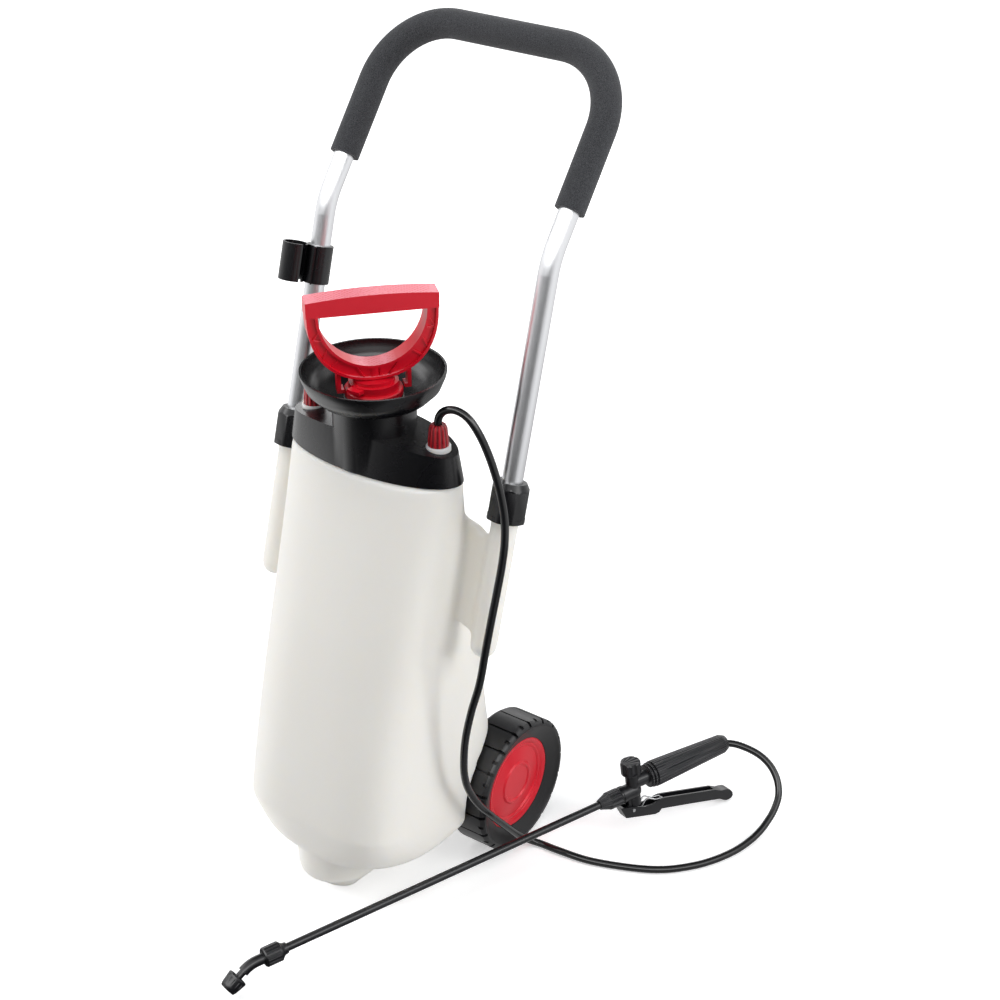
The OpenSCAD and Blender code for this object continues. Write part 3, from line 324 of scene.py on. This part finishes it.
def plastic(name, colour, roughness, speck=0.0, grain=0.0, size=0.3):
    """Moulded plastic: an even colour clouded a little, with a fine skin in its gloss.
    speck is the cloud's share of the colour, grain the skin's depth, size its width in mm."""
    material, tree, shader, place = new_material(name)
    shader.inputs["IOR"].default_value = 1.5
    cloud = add_node(tree, "ShaderNodeTexNoise", {"Scale": 28.0, "Detail": 3.0},
                     {"Vector": place})
    base = np.array(to_linear(colour)[:3])
    tint = add_node(tree, "ShaderNodeMix", {
        "data_type": "RGBA", 6: (*(base * (1 - speck)), 1), 7: (*(base * (1 + speck)), 1)},
        {0: cloud.outputs[0]})
    tree.links.new(tint.outputs[2], shader.inputs["Base Color"])
    skin = add_node(tree, "ShaderNodeTexNoise", {"Scale": 1 / (size * mm), "Detail": 2.0},
                    {"Vector": place})
    gloss = add_node(tree, "ShaderNodeMapRange", {3: roughness * 0.85, 4: roughness * 1.15},
                     {0: cloud.outputs[0]})
    tree.links.new(gloss.outputs[0], shader.inputs["Roughness"])
    bump = add_node(tree, "ShaderNodeBump", {"Strength": grain, "Distance": 0.05 * mm},
                    {"Height": skin.outputs[0]})
    tree.links.new(bump.outputs[0], shader.inputs["Normal"])
    return material


def fluted(material, place, turn, axis, count, depth, shade):
    """Fine flutes along an axis: they dip the surface by depth mm and paint shade into the colour
    of its valleys, down to shade times the colour.
    """
    tree = material.node_tree
    shader = tree.nodes["Principled BSDF"]
    own = add_node(tree, "ShaderNodeMapping", {"vector_type": "TEXTURE", "Location": place,
                                               "Rotation": turn},
                   {0: add_node(tree, "ShaderNodeTexCoord").outputs["Object"]})
    split = add_node(tree, "ShaderNodeSeparateXYZ", links={0: own.outputs[0]})
    across = {"X": ("Z", "Y"), "Z": ("Y", "X")}[axis]
    angle = add_node(tree, "ShaderNodeMath", {"operation": "ARCTAN2"},
                     {0: split.outputs[across[0]], 1: split.outputs[across[1]]})
    turns = add_node(tree, "ShaderNodeMath", {"operation": "MULTIPLY", 1: float(count)},
                     {0: angle.outputs[0]})
    wave = add_node(tree, "ShaderNodeMath", {"operation": "SINE"}, {0: turns.outputs[0]})
    ridge = add_node(tree, "ShaderNodeMapRange", {1: -0.8, 2: 0.8}, {0: wave.outputs[0]})
    bump = shader.inputs["Normal"].links[0].from_node
    dip = add_node(tree, "ShaderNodeBump", {"Strength": 1.0, "Distance": depth * mm},
                   {"Height": ridge.outputs[0], "Normal": bump.outputs[0]})
    tree.links.new(dip.outputs[0], shader.inputs["Normal"])
    # Painted shade: the base colour is darkened in the flute valleys.
    valley_painted_shade = add_node(tree, "ShaderNodeMapRange", {3: shade, 4: 1.0}, {0: ridge.outputs[0]})
    tint = add_node(tree, "ShaderNodeVectorMath", {"operation": "SCALE"},
                    {0: shader.inputs["Base Color"].links[0].from_socket,
                     "Scale": valley_painted_shade.outputs[0]})
    tree.links.new(tint.outputs[0], shader.inputs["Base Color"])
    return material


hose_knots = np.array([
    (83, 82, 571), (83, 82, 576), (84.5, 82, 582), (88.5, 82.3, 587.8), (94.5, 83, 591.8),
    (102, 84, 593.5), (109, 85, 592.6), (117, 86.3, 588.5), (125, 87.6, 580), (135, 88.5, 565),
    (146, 88, 544), (157, 86, 518), (165, 83, 491), (169, 78, 466), (169, 73, 440),
    (168, 66, 412), (167, 57, 380), (164, 51, 345), (158, 49, 305), (149, 46, 267),
    (141, 46, 229), (136, 49, 195), (133, 55, 166), (131, 67, 139), (131.5, 83, 112),
    (132, 104, 85), (132.5, 130, 54), (133, 154, 26), (137.5, 170, 10), (150, 178, 4.6),
    (175, 180, 4.6), (214, 186, 4.6), (260, 204, 4.6), (290, 222, 4.6), (312, 245, 4.6),
    (327, 268, 4.6), (339, 297, 4.6), (345, 323, 5.5), (348, 342, 9), (349, 358, 14),
    (349, 373, 21), (347, 386, 31), (342, 394, 41), (335, 399, 50), (325, 402, 59),
    (312, 402, 67), (298, 399, 72.5), (284, 395, 75.5), (275, 390.5, 76.5)], float)
HOSE_R = 4.2


def turned_about(axis, degrees):
    """Matrix of a turn about one of the main axes."""
    c, s = math.cos(math.radians(degrees)), math.sin(math.radians(degrees))
    return np.array({"x": ((1, 0, 0), (0, c, -s), (0, s, c)),
                     "y": ((c, 0, s), (0, 1, 0), (-s, 0, c)),
                     "z": ((c, -s, 0), (s, c, 0), (0, 0, 1))}[axis])


# The gun lies on the ground: where the lance enters it, and which way it points.
gun_place = np.array([202.2, 219.7, 58.5])
gun_angles = (-8, -3.2, 68.1)  # about x, then y, then z
gun_turn = np.linalg.multi_dot([turned_about(axis, angle) for axis, angle
                                in zip("zyx", gun_angles[::-1])])
grip_middle = (68, 0, 9.8)     # in the gun's own frame, whose X runs along the grip
grip_lean = math.radians(1)


def at_gun(points):
    """Points of the gun's own frame put where the gun lies."""
    return np.asarray(points, float) @ gun_turn.T + gun_place


grip_ends = [(grip_middle[0] + out * math.cos(grip_lean), 0,
              grip_middle[2] - out * math.sin(grip_lean)) for out in (111, 106)]
hose_knots = np.vstack([hose_knots, at_gun(grip_ends)])
spans = np.linalg.norm(np.diff(hose_knots, axis=0), axis=1)
hose_path = through(hose_knots, np.ceil(spans / 4).astype(int))
# Plasticised PVC straight from the die: a soft skin with a long clean highlight.
hose_pvc = plastic("hose_extruded_pvc", "#0E0F11", 0.17, speck=0.10, grain=0.15, size=0.5)
hose = add_piece("hose_tube", *closed_grid(tube_grid(hose_path, HOSE_R, 20)), "tank", hose_pvc)
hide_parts("hose")


# ---- Tank ----
# The pressure vessel: natural polyethylene, blow-moulded in one piece with its front foot,
# its wheel housings and, on webs at the sides, the sleeves that the handle slides in.

PUMP_Y, PORT_X = 82.0, 83.0
AXLE_Y, AXLE_Z = 176.0, 80.0
TANK_HALF, BASE_Z, BASE_R, BELLY_Z = 107.0, 58.0, 22.0, 118.0
SHOULDER_Z, SHOULDER_R = 511.0, 4.0


def mixed(a, b, t):
    """Straight blend from one value to the other."""
    return a + (b - a) * t


def tank_section(z, inset, turn):
    """Superellipse: width and depth each times the cosine or sine raised to a power.
    The power and the two depths blend from the belly to the shoulder."""
    rise = np.clip((z - BELLY_Z) / (SHOULDER_Z - BELLY_Z), 0, 1)
    sink = np.clip((BELLY_Z - z) / (BELLY_Z - BASE_Z), 0, 1)
    square = mixed(mixed(4.3, 2.15, rise ** 0.6), 2.2, sink)
    width = TANK_HALF - inset
    front = mixed(mixed(145.0, 45.0, rise ** 1.4), 134.0, sink)
    back = mixed(98.0, 45.0, rise ** 1.4)
    depth = (front + back) / 2 - inset
    c, s = np.cos(turn), np.sin(turn)
    return np.stack([
        width * np.sign(c) * np.abs(c) ** (2 / square),
        PUMP_Y + (back - front) / 2 + depth * np.sign(s) * np.abs(s) ** (2 / square),
        z * np.ones_like(c)], -1)


turn = (np.arange(176) + 0.5) * 2 * math.pi / 176
edge = np.linspace(0, math.pi / 2, 14)
heights = np.concatenate([BASE_Z + BASE_R * (1 - np.cos(edge)),
                          np.linspace(BASE_Z + BASE_R, SHOULDER_Z - SHOULDER_R, 90)[1:-1],
                          SHOULDER_Z - SHOULDER_R * (1 - np.sin(edge))])
insets = np.concatenate([BASE_R * (1 - np.sin(edge)), np.zeros(88),
                         SHOULDER_R * (1 - np.cos(edge))])
belly = np.stack([tank_section(z, inset, turn) for z, inset in zip(heights, insets)])


def disc_rows(profile, sides, place=(0, 0, 0), turn_by=None):
    """Lathe: each (radius, height) of a profile carried round the Z axis, then placed."""
    profile = np.asarray(profile, float)
    a = np.linspace(0, 2 * math.pi, sides, endpoint=False)
    grid = np.stack([profile[:, :1] * np.cos(a), profile[:, :1] * np.sin(a),
                     np.repeat(profile[:, 1:], sides, 1)], -1)
    if turn_by is not None:
        grid = grid @ turn_by.T
    return grid + np.asarray(place, float)


def hull_rows(rings, sides=64):
    """Level ovals (half width, half length, middle's y, z) joined one to the next."""
    a = np.linspace(0, 2 * math.pi, sides, endpoint=False)
    return np.stack([np.stack([w * np.cos(a), y + l * np.sin(a), z + 0 * a], -1)
                     for w, l, y, z in rings])


LEG_X, LEG_Y, LEG_Z, LEAN = 145.5, 123.7, 509.0, 16.3
COLLAR_H, SLEEVE_L, SLEEVE_R, WEB_T = 42.0, 138.0, 14.45, 11.0
leg_turn = turned_about("x", -LEAN)


def along_leg(points, side=1):
    """Points of a leg's own frame, with Z up its axis from the collar's top."""
    return np.asarray(points, float) @ leg_turn.T + np.array([side * LEG_X, LEG_Y, LEG_Z])


foot = hull_rows([(14, 11, -1, 0), (15, 12, -1, 0.6), (20, 18, -2, 5.5), (25, 25, -3, 12),
                  (34, 36, -2, 22.5), (46, 52, -1, 36), (54, 55, 4, 70), (58, 56, 6, 85)])
parts = [closed_grid(belly), closed_grid(foot)]
axle = (0, AXLE_Y, AXLE_Z)
parts.append(closed_grid(disc_rows([(13, -74), (13, 74)], 48, axle, turned_about("y", 90))))
for side in (-1, 1):
    low = -COLLAR_H - SLEEVE_L
    bead = [(SLEEVE_R * math.cos(t), low + SLEEVE_R * math.sin(t))
            for t in np.linspace(-math.pi / 2 + 0.02, 0, 10)]
    sleeve = disc_rows(bead + [(SLEEVE_R, -COLLAR_H / 2)], 48)
    points, faces = closed_grid(sleeve)
    parts.append((along_leg(points, side), faces))
    inner = LEG_X - TANK_HALF + 18
    web = np.array([(-inner, -COLLAR_H - 10), (-30, -COLLAR_H - 15), (-22, -COLLAR_H - 20),
                    (-8, -COLLAR_H - 25), (0, -COLLAR_H - 28), (0, low + 4),
                    (-inner, low + 22)], float)
    slab = np.stack([np.stack([side * web[:, 0], np.full(len(web), y), web[:, 1]], -1)
                     for y in (-WEB_T / 2, WEB_T / 2)])
    points, faces = closed_grid(slab)
    parts.append((along_leg(points, side), faces))


def joined(parts):
    """Several point and face lists made one."""
    points, faces, start = [], [], 0
    for p, f in parts:
        points.append(np.asarray(p))
        faces += [[c + start for c in face] for face in f]
        start += len(p)
    return np.vstack(points), faces


def evaluated(piece):
    """Applies the piece's modifiers to its mesh; none is left on it."""
    graph = bpy.context.evaluated_depsgraph_get()
    mesh = bpy.data.meshes.new_from_object(piece.evaluated_get(graph))
    piece.modifiers.clear()
    old, piece.data = piece.data, mesh
    name = old.name
    bpy.data.meshes.remove(old)
    mesh.name = name


def outward(mesh):
    """Turns every face of a closed mesh outwards."""
    work = bmesh.new()
    work.from_mesh(mesh)
    bmesh.ops.recalc_face_normals(work, faces=work.faces)
    work.to_mesh(mesh)
    work.free()


# Natural HDPE, blow-moulded: milky, light goes well into the wall, satin with a faint haze.
tank_pe, tree, shader, place = new_material("tank_blow_moulded_hdpe")
shader.inputs["IOR"].default_value = 1.54
shader.inputs["Subsurface Weight"].default_value = 0.75
shader.inputs["Subsurface Radius"].default_value = (1.0, 0.92, 0.78)
shader.inputs["Subsurface Scale"].default_value = 14 * mm
haze = add_node(tree, "ShaderNodeTexNoise", {"Scale": 5.0, "Detail": 2.0}, {"Vector": place})
milk = add_node(tree, "ShaderNodeMix", {
    "data_type": "RGBA", 6: to_linear("#EAE7E0"), 7: to_linear("#F1EFEA")},
    {0: haze.outputs[0]})
tree.links.new(milk.outputs[2], shader.inputs["Base Color"])
skin = add_node(tree, "ShaderNodeTexNoise", {"Scale": 900.0, "Detail": 3.0}, {"Vector": place})
satin = add_node(tree, "ShaderNodeMapRange", {3: 0.34, 4: 0.46}, {0: haze.outputs[0]})
tree.links.new(satin.outputs[0], shader.inputs["Roughness"])
bump = add_node(tree, "ShaderNodeBump", {"Strength": 0.06, "Distance": 0.1 * mm},
                {"Height": skin.outputs[0]})
tree.links.new(bump.outputs[0], shader.inputs["Normal"])

tank_points, tank_faces = joined(parts)
tank = add_piece("tank_vessel", tank_points, tank_faces, "tank", tank_pe)
outward(tank.data)
merge = tank.modifiers.new("one_skin", "REMESH")
merge.mode = "VOXEL"
merge.voxel_size = 2.4 * mm
evaluated(tank)
wells = []
for side in (-1, 1):
    well = disc_rows([(84.5, 74), (84.5, 150)], 128, axle, turned_about("y", 90 * side))
    wells.append(closed_grid(well))
cutter = add_piece("wheel_wells", *joined(wells), "tank", tank_pe)
outward(cutter.data)
cut = tank.modifiers.new("wells", "BOOLEAN")
cut.operation = "DIFFERENCE"
cut.object = cutter
evaluated(tank)
bpy.data.objects.remove(cutter)
remesh = tank.modifiers.new("skin", "REMESH")
remesh.mode = "VOXEL"
remesh.voxel_size = 2.3 * mm
ease = tank.modifiers.new("blends", "SMOOTH")
ease.factor = 0.5
ease.iterations = 9
evaluated(tank)
tank.data.shade_smooth()
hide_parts("tank")


def lathe(name, profile, body, material, sides, place):
    """A closed ring: a profile of (radius, height) that closes on itself."""
    grid = disc_rows(profile, sides, place)
    rows = len(grid)
    faces = ring_faces(rows, sides)
    j = np.arange(sides)
    k = (j + 1) % sides
    last = np.stack([(rows - 1) * sides + j, (rows - 1) * sides + k, k, j], -1)
    piece = add_piece(name, grid.reshape(-1, 3), np.vstack([faces, last]), body, material)
    outward(piece.data)
    return piece


port_profile = [(4.3, 505), (13, 505), (13, 548.5), (12.4, 549.6), (11.4, 549.9), (7.5, 549.9),
                (7.5, 562), (4.3, 562)]
for side, name in ((1, "outlet_port"), (-1, "relief_port")):
    port = lathe(name, port_profile, "tank", tank_pe, 64, (side * PORT_X, PUMP_Y, 0))
neck = lathe("filling_neck", [(26, 505), (31, 505), (31, 582.5), (30.5, 583), (26, 583)],
             "tank", tank_pe, 96, (0, PUMP_Y, 0))


# ---- Moulded copies ----
# Pieces whose solid already has the right shape keep it. Each is merged into one skin and
# shaded smooth over its round faces, so that no facet shows in its gloss.

def finished(node, material):
    """A merged copy of a node's mesh with a material, which then stands for the node."""
    source = frame["nodes"][node]
    mesh = source.data.copy()
    mesh.name = node + "_skin"
    if "custom_normal" in mesh.attributes:
        mesh.attributes.remove(mesh.attributes["custom_normal"])
    work = bmesh.new()
    work.from_mesh(mesh)
    bmesh.ops.remove_doubles(work, verts=work.verts, dist=0.002 * mm)
    work.to_mesh(mesh)
    work.free()
    mesh.materials.clear()
    mesh.materials.append(material)
    mesh.shade_smooth()
    mesh.set_sharp_from_angle(angle=math.radians(30))
    piece = bpy.data.objects.new(node + "_skin", mesh)
    scene.collection.objects.link(piece)
    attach(piece, source["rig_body"])
    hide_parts(node)


# Black polypropylene from a fine-eroded mould: dark satin, a soft wide highlight.
black_pp = plastic("black_moulded_polypropylene", "#0B0B0E", 0.27, speck=0.08, grain=0.12,
                   size=0.4)
for node in ("shroud", "funnel", "collar_left", "collar_right", "lance_clip", "dip_filter",
             "foot_valve", "piston"):
    finished(node, black_pp)
# Red polypropylene from a smoother mould; the small nuts are a darker batch with flutes, whose
# valleys carry painted shade.
RED, RED_SKIN = "#D20E26", {"speck": 0.04, "grain": 0.12, "size": 0.6}
red_pp = plastic("red_moulded_polypropylene", RED, 0.34, **RED_SKIN)
finished("pump_cap", red_pp)
for side, node in ((1, "outlet_nut"), (-1, "relief_knob")):
    nut_red = plastic(node + "_polypropylene", "#B80F20", 0.30, **RED_SKIN)
    nut_place = (side * PORT_X * mm, PUMP_Y * mm, 0)
    finished(node, fluted(nut_red, nut_place, (0, 0, 0), "Z", 14, 0.6, 0.35))

# The pump handle's own red: its top is cross-hatched for the hand, and upward-facing faces are
# mixed towards pale pink along the hatch as a painted sheen.
handle_red = plastic("red_polypropylene_hatched_top_painted_sheen", RED, 0.34, **RED_SKIN)
tree = handle_red.node_tree
shader = tree.nodes["Principled BSDF"]
smooth_red = shader.inputs["Base Color"].links[0].from_socket
where = add_node(tree, "ShaderNodeTexCoord")
facing = add_node(tree, "ShaderNodeSeparateXYZ", links={0: where.outputs["Normal"]})
turned = add_node(tree, "ShaderNodeMapping", {"Rotation": (0, 0, math.radians(4))},
                  {0: where.outputs["Object"]})
hatch = add_node(tree, "ShaderNodeTexVoronoi",
                 {"feature": "DISTANCE_TO_EDGE", "Scale": 260.0, "Randomness": 0.25},
                 {"Vector": turned.outputs[0]})
ridge = add_node(tree, "ShaderNodeMapRange", {1: 0.0, 2: 0.25, 3: 0.95, 4: 0.45},
                 {0: hatch.outputs["Distance"]})
top = add_node(tree, "ShaderNodeMapRange", {1: 0.9, 2: 0.97}, {0: facing.outputs["Z"]})
amount = add_node(tree, "ShaderNodeMath", {"operation": "MULTIPLY"},
                  {0: ridge.outputs[0], 1: top.outputs[0]})
# Painted sheen: upward-facing faces turn pale pink along the hatch lines.
painted_top_sheen = add_node(tree, "ShaderNodeMix", {"data_type": "RGBA", 7: to_linear("#F08C9A")},
                 {0: amount.outputs[0], 6: smooth_red})
tree.links.new(painted_top_sheen.outputs[2], shader.inputs["Base Color"])
finished("pump_handle", handle_red)

# Undyed polypropylene inside the pump and the clamps, and soft black rubber for the seals.
natural_pp = plastic("natural_polypropylene", "#DADBD8", 0.40, speck=0.03, grain=0.1)
for node in ("dip_tube", "pump_barrel", "relief_stem", "collet_left", "collet_right"):
    finished(node, natural_pp)
nitrile = plastic("nitrile_rubber", "#151515", 0.6, speck=0.1, grain=0.3)
for node in ("relief_seal", "pump_gasket", "piston_seal", "valve_seal", "lance_seal",
             "hose_tail"):
    finished(node, nitrile)


# ---- Handle ----
# Bright anodised aluminium tube bent to a bow, 22 mm across, which slides in the sleeves.
# The upper part is covered by a sleeve of closed-cell foam.

# Drawn and anodised: near-white metal whose fine drawing lines run along the legs.
aluminium, tree, shader, place = new_material("anodised_aluminium_tube")
shader.inputs["Metallic"].default_value = 1.0
drawn = add_node(tree, "ShaderNodeMapping", {"Scale": (900, 900, 12)}, {"Vector": place})
lines = add_node(tree, "ShaderNodeTexNoise", {"Scale": 1.0, "Detail": 3.0},
                 {"Vector": drawn.outputs[0]})
tone = add_node(tree, "ShaderNodeMix", {
    "data_type": "RGBA", 6: to_linear("#DEDFE2"), 7: to_linear("#E8E9EB")},
    {0: lines.outputs[0]})
tree.links.new(tone.outputs[2], shader.inputs["Base Color"])
gloss = add_node(tree, "ShaderNodeMapRange", {3: 0.27, 4: 0.34}, {0: lines.outputs[0]})
tree.links.new(gloss.outputs[0], shader.inputs["Roughness"])
finished("handle_tube", aluminium)

# Closed-cell foam: matt charcoal, speckled by open cells about 0.8 mm across.
foam, tree, shader, place = new_material("closed_cell_foam_sleeve")
shader.inputs["Roughness"].default_value = 0.95
shader.inputs["Sheen Weight"].default_value = 0.12
shader.inputs["Sheen Roughness"].default_value = 0.6
cells = add_node(tree, "ShaderNodeTexNoise", {"Scale": 1300.0, "Detail": 4.0},
                 {"Vector": place})
speckle = add_node(tree, "ShaderNodeValToRGB", links={0: cells.outputs[0]})
for stop, position, colour in zip(speckle.color_ramp.elements, (0.35, 0.72),
                                  ("#141516", "#4B4C50")):
    stop.position = position
    stop.color = to_linear(colour)
tree.links.new(speckle.outputs[0], shader.inputs["Base Color"])
bump = add_node(tree, "ShaderNodeBump", {"Strength": 0.6, "Distance": 0.25 * mm},
                {"Height": cells.outputs[0]})
tree.links.new(bump.outputs[0], shader.inputs["Normal"])
finished("foam_grip", foam)


# ---- Wheels ----
# One-piece black plastic wheels with lugs, a red disc snapped into each face, on a steel
# axle with washers and nuts.

wheel_pp = plastic("wheel_moulded_polypropylene", "#151517", 0.40, speck=0.12, grain=0.35,
                   size=0.5)
for node in ("wheel_left", "wheel_right"):
    finished(node, wheel_pp)
for node in ("wheel_disc_left", "wheel_disc_right"):
    finished(node, red_pp)


def metal(name, colour, roughness):
    """A bare metal with fine uneven polish."""
    material, tree, shader, place = new_material(name)
    shader.inputs["Metallic"].default_value = 1.0
    shader.inputs["Base Color"].default_value = to_linear(colour)
    polish = add_node(tree, "ShaderNodeTexNoise", {"Scale": 600.0, "Detail": 2.0},
                      {"Vector": place})
    gloss = add_node(tree, "ShaderNodeMapRange", {3: roughness * 0.8, 4: roughness * 1.2},
                     {0: polish.outputs[0]})
    tree.links.new(gloss.outputs[0], shader.inputs["Roughness"])
    return material


steel = metal("drawn_stainless_steel", "#C8C9CB", 0.26)
for node in ("relief_spring", "pump_rod", "axle", "axle_washers", "axle_nuts", "lever_pin",
             "lock_clip", "valve_stem", "valve_spring"):
    finished(node, steel)


# ---- Gun and lance ----
# A trigger gun of black glass-filled nylon with a ribbed hand grip, screwed to a black
# fibre lance with an elbow and an adjustable nozzle at its far end.

nylon = plastic("glass_filled_nylon", "#151518", 0.30, speck=0.12, grain=0.3, size=0.35)
for node in ("gun_body", "lever", "nozzle_nut", "nozzle_elbow", "nozzle_cap"):
    finished(node, nylon)
gun_lie = [math.radians(angle) for angle in gun_angles]
# The ribbed grip, lance nut and valve cap get flutes whose valleys carry painted shade.
for node, middle, axis, count in (("hand_grip", grip_middle, "X", 30),
                                  ("lance_nut", (0, 0, 0), "X", 22),
                                  ("valve_cap", (36, 0, 0), "Z", 20)):
    ribbed = plastic(node + "_ribbed_nylon", "#1C1C20", 0.32, speck=0.12, grain=0.3, size=0.35)
    middle_at = [float(c) * mm for c in at_gun([middle])[0]]
    finished(node, fluted(ribbed, middle_at, gun_lie, axis, count, 0.5, 0.4))
fibre = plastic("pultruded_fibre_tube", "#1D1E20", 0.24, speck=0.15, grain=0.2, size=0.4)
finished("lance_tube", fibre)
finished("nozzle_core", metal("turned_brass", "#C9A45C", 0.28))


# ---- Sizes ----
low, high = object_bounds()
